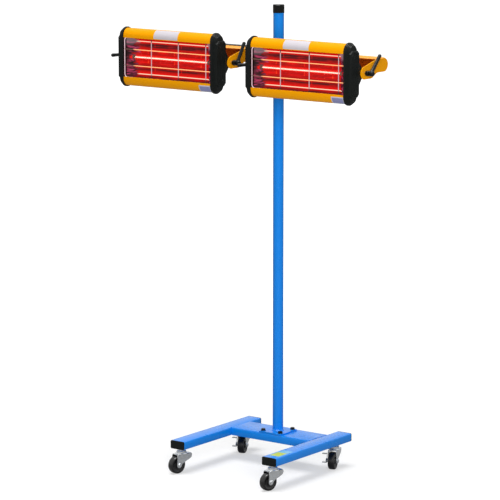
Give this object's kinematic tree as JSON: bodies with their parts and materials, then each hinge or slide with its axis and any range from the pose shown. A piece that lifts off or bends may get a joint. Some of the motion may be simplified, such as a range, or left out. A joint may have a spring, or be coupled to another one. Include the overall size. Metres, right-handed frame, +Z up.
{
  "type": "infrared curing lamp",
  "caption": "Infrared paint-curing lamp on a rolling stand: guarded yellow heads that tilt, roll, swivel and slide on a blue pole, with a black crossbar and swivel casters.",
  "frame": {"origin": "on the floor under the middle of the object's box; the pole stands a little behind it", "axes": "+X along the heads to the right when the lamps are faced, +Y from the lamps back to the pole, +Z up"},
  "size_m": [1.0808, 0.4926, 1.648],
  "materials": {
    "blue_paint": "gloss powder coat",
    "yellow_paint": "satin powder coat",
    "black_paint": "satin powder coat",
    "black_plastic": "moulded, fine texture",
    "zinc": "bright zinc plate",
    "black_rubber": "smooth tread",
    "polished_aluminium": "mirror polish",
    "chromed_wire": "bright",
    "quartz": "glowing tube"
  },
  "bodies": {
    "stand": {"base_bolt_1": "black_paint", "base_bolt_2": "black_paint", "base_bolt_3": "black_paint", "base_bolt_4": "black_paint", "base_plate": "blue_paint", "cross_beam": "blue_paint", "leg_left": "blue_paint", "leg_plug_front_left": "black_plastic", "leg_plug_front_right": "black_plastic", "leg_plug_rear_left": "black_plastic", "leg_plug_rear_right": "black_plastic", "leg_right": "blue_paint", "pole": "blue_paint", "pole_cap": "black_plastic"},
    "caster_front_left": {"fork_front_left": "zinc"},
    "wheel_front_left": {"wheel_front_left": "black_rubber"},
    "caster_front_right": {"fork_front_right": "zinc"},
    "wheel_front_right": {"wheel_front_right": "black_rubber"},
    "caster_rear_left": {"fork_rear_left": "zinc"},
    "wheel_rear_left": {"wheel_rear_left": "black_rubber"},
    "brake_rear_left": {"brake_pedal_rear_left": "zinc"},
    "caster_rear_right": {"fork_rear_right": "zinc"},
    "wheel_rear_right": {"wheel_rear_right": "black_rubber"},
    "brake_rear_right": {"brake_pedal_rear_right": "zinc"},
    "height_collar": {"height_collar": "black_paint"},
    "height_knob": {"height_knob": "black_plastic"},
    "arm": {"arm_sleeve": "black_paint", "crossbar": "black_paint", "crossbar_cap_left": "black_plastic", "crossbar_cap_right": "black_plastic", "yoke_pivot_left": "zinc", "yoke_pivot_right": "zinc"},
    "arm_knob": {"arm_knob": "black_plastic"},
    "yoke_left": {"yoke_left": "yellow_paint"},
    "head_left": {"cable_gland_left": "black_plastic", "end_cap_left_left": "black_plastic", "end_cap_left_right": "black_plastic", "guard_left": "chromed_wire", "head_shell_left": "yellow_paint", "heater_tube_left": "quartz", "reflector_left": "polished_aluminium", "switch_box_left": "black_plastic"},
    "yoke_knob_left": {"yoke_knob_left": "black_plastic"},
    "lever_left_left": {"lever_left_left": "black_plastic"},
    "lever_left_right": {"lever_left_right": "black_plastic"},
    "rocker_left": {"rocker_left": "black_plastic"},
    "yoke_right": {"yoke_right": "yellow_paint"},
    "head_right": {"cable_gland_right": "black_plastic", "end_cap_right_left": "black_plastic", "end_cap_right_right": "black_plastic", "guard_right": "chromed_wire", "head_shell_right": "yellow_paint", "heater_tube_right": "quartz", "reflector_right": "polished_aluminium", "switch_box_right": "black_plastic"},
    "yoke_knob_right": {"yoke_knob_right": "black_plastic"},
    "lever_right_left": {"lever_right_left": "black_plastic"},
    "lever_right_right": {"lever_right_right": "black_plastic"},
    "rocker_right": {"rocker_right": "black_plastic"}
  },
  "joints": [
    {"name": "swivel_front_left", "type": "hinge", "parent": "stand", "child": "caster_front_left", "pos_m": [-0.2, -0.19297, 0], "axis": [0, 0, 1], "continuous": true},
    {"name": "roll_front_left", "type": "hinge", "parent": "caster_front_left", "child": "wheel_front_left", "pos_m": [-0.20508, -0.21335, 0.0315], "axis": [0.9703, -0.2419, 0], "continuous": true},
    {"name": "swivel_front_right", "type": "hinge", "parent": "stand", "child": "caster_front_right", "pos_m": [0.2, -0.19297, 0], "axis": [0, 0, 1], "continuous": true},
    {"name": "roll_front_right", "type": "hinge", "parent": "caster_front_right", "child": "wheel_front_right", "pos_m": [0.19492, -0.21335, 0.0315], "axis": [0.9703, -0.2419, 0], "continuous": true},
    {"name": "swivel_rear_left", "type": "hinge", "parent": "stand", "child": "caster_rear_left", "pos_m": [-0.2, 0.18103, 0], "axis": [0, 0, 1], "continuous": true},
    {"name": "roll_rear_left", "type": "hinge", "parent": "caster_rear_left", "child": "wheel_rear_left", "pos_m": [-0.19282, 0.1613, 0.0315], "axis": [0.9397, 0.342, 0], "continuous": true},
    {"name": "brake_rear_left", "type": "hinge", "parent": "caster_rear_left", "child": "brake_rear_left", "pos_m": [-0.19282, 0.1613, 0.0315], "axis": [0.9397, 0.342, 0], "range_deg": [0, 15]},
    {"name": "swivel_rear_right", "type": "hinge", "parent": "stand", "child": "caster_rear_right", "pos_m": [0.2, 0.18103, 0], "axis": [0, 0, 1], "continuous": true},
    {"name": "roll_rear_right", "type": "hinge", "parent": "caster_rear_right", "child": "wheel_rear_right", "pos_m": [0.20718, 0.1613, 0.0315], "axis": [0.9397, 0.342, 0], "continuous": true},
    {"name": "brake_rear_right", "type": "hinge", "parent": "caster_rear_right", "child": "brake_rear_right", "pos_m": [0.20718, 0.1613, 0.0315], "axis": [0.9397, 0.342, 0], "range_deg": [0, 15]},
    {"name": "height", "type": "slide", "parent": "stand", "child": "height_collar", "axis": [0, 0, 1], "range_m": [-1, 0.09]},
    {"name": "height_knob", "type": "hinge", "parent": "height_collar", "child": "height_knob", "pos_m": [0, 0.11403, 1.4087], "axis": [0, 1, 0], "continuous": true},
    {"name": "swivel_arm", "type": "hinge", "parent": "height_collar", "child": "arm", "pos_m": [0, 0.11403, 1.426], "axis": [0, 0, 1], "continuous": true},
    {"name": "arm_knob", "type": "hinge", "parent": "arm", "child": "arm_knob", "pos_m": [0, 0.11403, 1.501], "axis": [0, 1, 0], "continuous": true},
    {"name": "roll_left", "type": "hinge", "parent": "arm", "child": "yoke_left", "pos_m": [-0.278, 0.11403, 1.476], "axis": [0, 1, 0], "range_deg": [-90, 90]},
    {"name": "yoke_knob_left", "type": "hinge", "parent": "arm", "child": "yoke_knob_left", "pos_m": [-0.278, 0.11403, 1.476], "axis": [0, 1, 0], "continuous": true},
    {"name": "tilt_left", "type": "hinge", "parent": "yoke_left", "child": "head_left", "pos_m": [-0.278, -0.08527, 1.458], "axis": [1, 0, 0], "range_deg": [-60, 80]},
    {"name": "lever_left_left", "type": "hinge", "parent": "yoke_left", "child": "lever_left_left", "pos_m": [-0.278, -0.08527, 1.458], "axis": [1, 0, 0], "range_deg": [-60, 60]},
    {"name": "lever_left_right", "type": "hinge", "parent": "yoke_left", "child": "lever_left_right", "pos_m": [-0.278, -0.08527, 1.458], "axis": [1, 0, 0], "range_deg": [-60, 60]},
    {"name": "rocker_left", "type": "hinge", "parent": "head_left", "child": "rocker_left", "pos_m": [-0.278, -0.09097, 1.41], "axis": [1, 0, 0], "range_deg": [-8, 8]},
    {"name": "roll_right", "type": "hinge", "parent": "arm", "child": "yoke_right", "pos_m": [0.278, 0.11403, 1.476], "axis": [0, 1, 0], "range_deg": [-90, 90]},
    {"name": "yoke_knob_right", "type": "hinge", "parent": "arm", "child": "yoke_knob_right", "pos_m": [0.278, 0.11403, 1.476], "axis": [0, 1, 0], "continuous": true},
    {"name": "tilt_right", "type": "hinge", "parent": "yoke_right", "child": "head_right", "pos_m": [0.278, -0.08527, 1.458], "axis": [1, 0, 0], "range_deg": [-60, 80]},
    {"name": "lever_right_left", "type": "hinge", "parent": "yoke_right", "child": "lever_right_left", "pos_m": [0.278, -0.08527, 1.458], "axis": [1, 0, 0], "range_deg": [-60, 60]},
    {"name": "lever_right_right", "type": "hinge", "parent": "yoke_right", "child": "lever_right_right", "pos_m": [0.278, -0.08527, 1.458], "axis": [1, 0, 0], "range_deg": [-60, 60]},
    {"name": "rocker_right", "type": "hinge", "parent": "head_right", "child": "rocker_right", "pos_m": [0.278, -0.09097, 1.41], "axis": [1, 0, 0], "range_deg": [-8, 8]}
  ]
}
